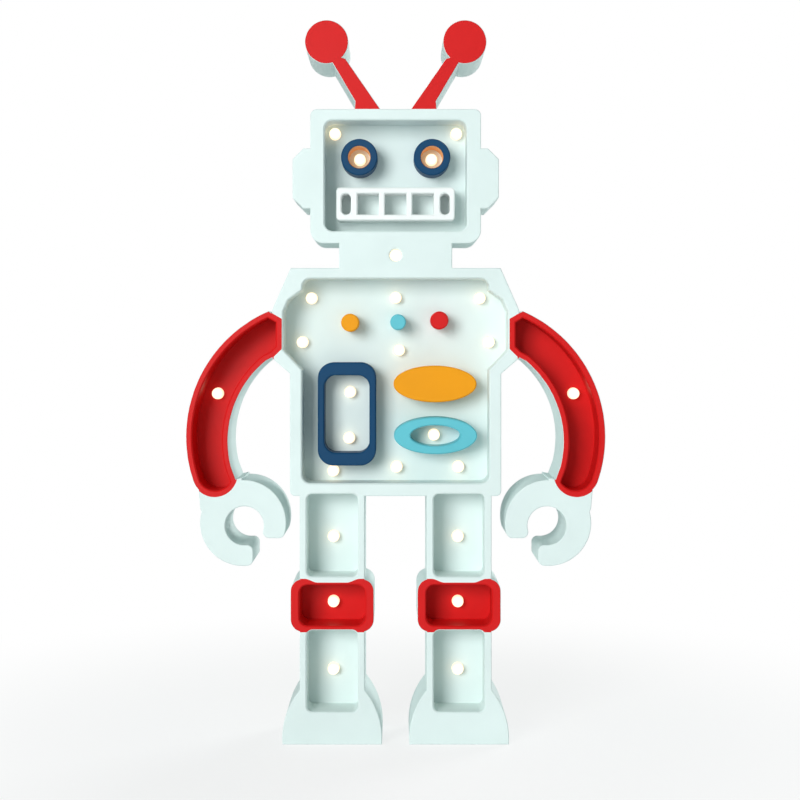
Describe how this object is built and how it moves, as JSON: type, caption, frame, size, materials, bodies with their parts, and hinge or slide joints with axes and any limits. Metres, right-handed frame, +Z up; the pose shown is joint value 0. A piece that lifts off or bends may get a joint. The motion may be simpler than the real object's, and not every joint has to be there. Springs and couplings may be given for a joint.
{
  "type": "robot-shaped desk lamp",
  "caption": "Free-standing wooden desk lamp in the outline of a toy robot, with small lights in milled recesses, painted fronts, a screwed back panel and a rocker switch.",
  "frame": {"origin": "middle of the footprint, on the surface that the two feet stand on", "axes": "+Z up, front towards -Y, +X to the right of someone who faces the lamp's front"},
  "size_m": [0.2896, 0.05, 0.5],
  "materials": {
    "mint_painted_wood": "satin acrylic paint, sides and recess floors",
    "red_painted_wood": "satin acrylic paint; side walls and hands in the pale body colour",
    "navy_painted_wood": "satin acrylic paint",
    "white_painted_wood": "satin acrylic paint",
    "orange_painted_wood": "satin acrylic paint",
    "cyan_painted_wood": "satin acrylic paint",
    "birch_plywood": "sanded, clear matt varnish",
    "raw_pine": "sawn and sanded, unpainted",
    "led_epoxy": "clear warm-white lens",
    "tinned_wire": "tinned lead wire",
    "white_insulation": "extruded PVC",
    "red_insulation": "extruded PVC",
    "green_board": "solder resist on glass epoxy",
    "nylon": "moulded",
    "ferrite": "pressed and fired",
    "enamelled_copper": "enamelled winding",
    "capacitor_can": "drawn can",
    "chip_black": "transfer moulded",
    "resistor_ceramic": "glazed film",
    "black_plastic": "moulded, fine spark texture",
    "nickel_plate": "nickel plated brass",
    "brass_contact": "stamped strip",
    "zinc_screw": "bright zinc plate",
    "spring_steel": "drawn wire"
  },
  "bodies": {
    "lamp_body": {"antenna_left": "red_painted_wood", "antenna_right": "red_painted_wood", "arm_left": "red_painted_wood", "arm_right": "red_painted_wood", "back_panel": "birch_plywood", "board_pins": "brass_contact", "board_screws": "zinc_screw", "board_spacers": "nylon", "chest_peg_left": "orange_painted_wood", "chest_peg_middle": "cyan_painted_wood", "chest_peg_right": "red_painted_wood", "coil_winding": "enamelled_copper", "driver_board": "green_board", "driver_capacitor": "capacitor_can", "driver_chip": "chip_black", "driver_coil": "ferrite", "eye_ring_left": "navy_painted_wood", "eye_ring_right": "navy_painted_wood", "head_block": "mint_painted_wood", "inlet_barrel": "black_plastic", "inlet_nut": "nickel_plate", "inlet_pin": "nickel_plate", "inlet_tags": "brass_contact", "leg_left": "mint_painted_wood", "leg_right": "mint_painted_wood", "light_leads": "tinned_wire", "light_neck": "led_epoxy", "lights_arms": "led_epoxy", "lights_head": "led_epoxy", "lights_legs": "led_epoxy", "lights_torso": "led_epoxy", "lower_oval_ring": "cyan_painted_wood", "mouth_grille": "white_painted_wood", "panel_screw_blocks": "raw_pine", "panel_screws": "zinc_screw", "string_resistors": "resistor_ceramic", "supply_wires": "red_insulation", "switch_housing": "black_plastic", "switch_terminals": "brass_contact", "torso_block": "mint_painted_wood", "upper_oval": "orange_painted_wood", "window_frame": "navy_painted_wood", "wiring_arm_left": "white_insulation", "wiring_arm_right": "white_insulation", "wiring_head": "white_insulation", "wiring_leg_left": "white_insulation", "wiring_leg_right": "white_insulation"},
    "rocker": {"switch_rocker": "black_plastic", "switch_plunger": "nylon", "switch_spring": "spring_steel"},
    "lever": {"switch_lever": "brass_contact"}
  },
  "joints": [
    {"name": "rocker_tilt", "type": "hinge", "parent": "lamp_body", "child": "rocker", "pos_m": [0.034, 0.0195, 0.29], "axis": [1, 0, 0], "range_deg": [-24, 0]},
    {"name": "lever_tilt", "type": "hinge", "parent": "lamp_body", "child": "lever", "pos_m": [0.034, 0.01285, 0.29], "axis": [1, 0, 0], "range_deg": [0, 16]}
  ],
  "couplings": [
    {"joint": "lever_tilt", "follows": "rocker_tilt", "ratio": -0.66667}
  ]
}
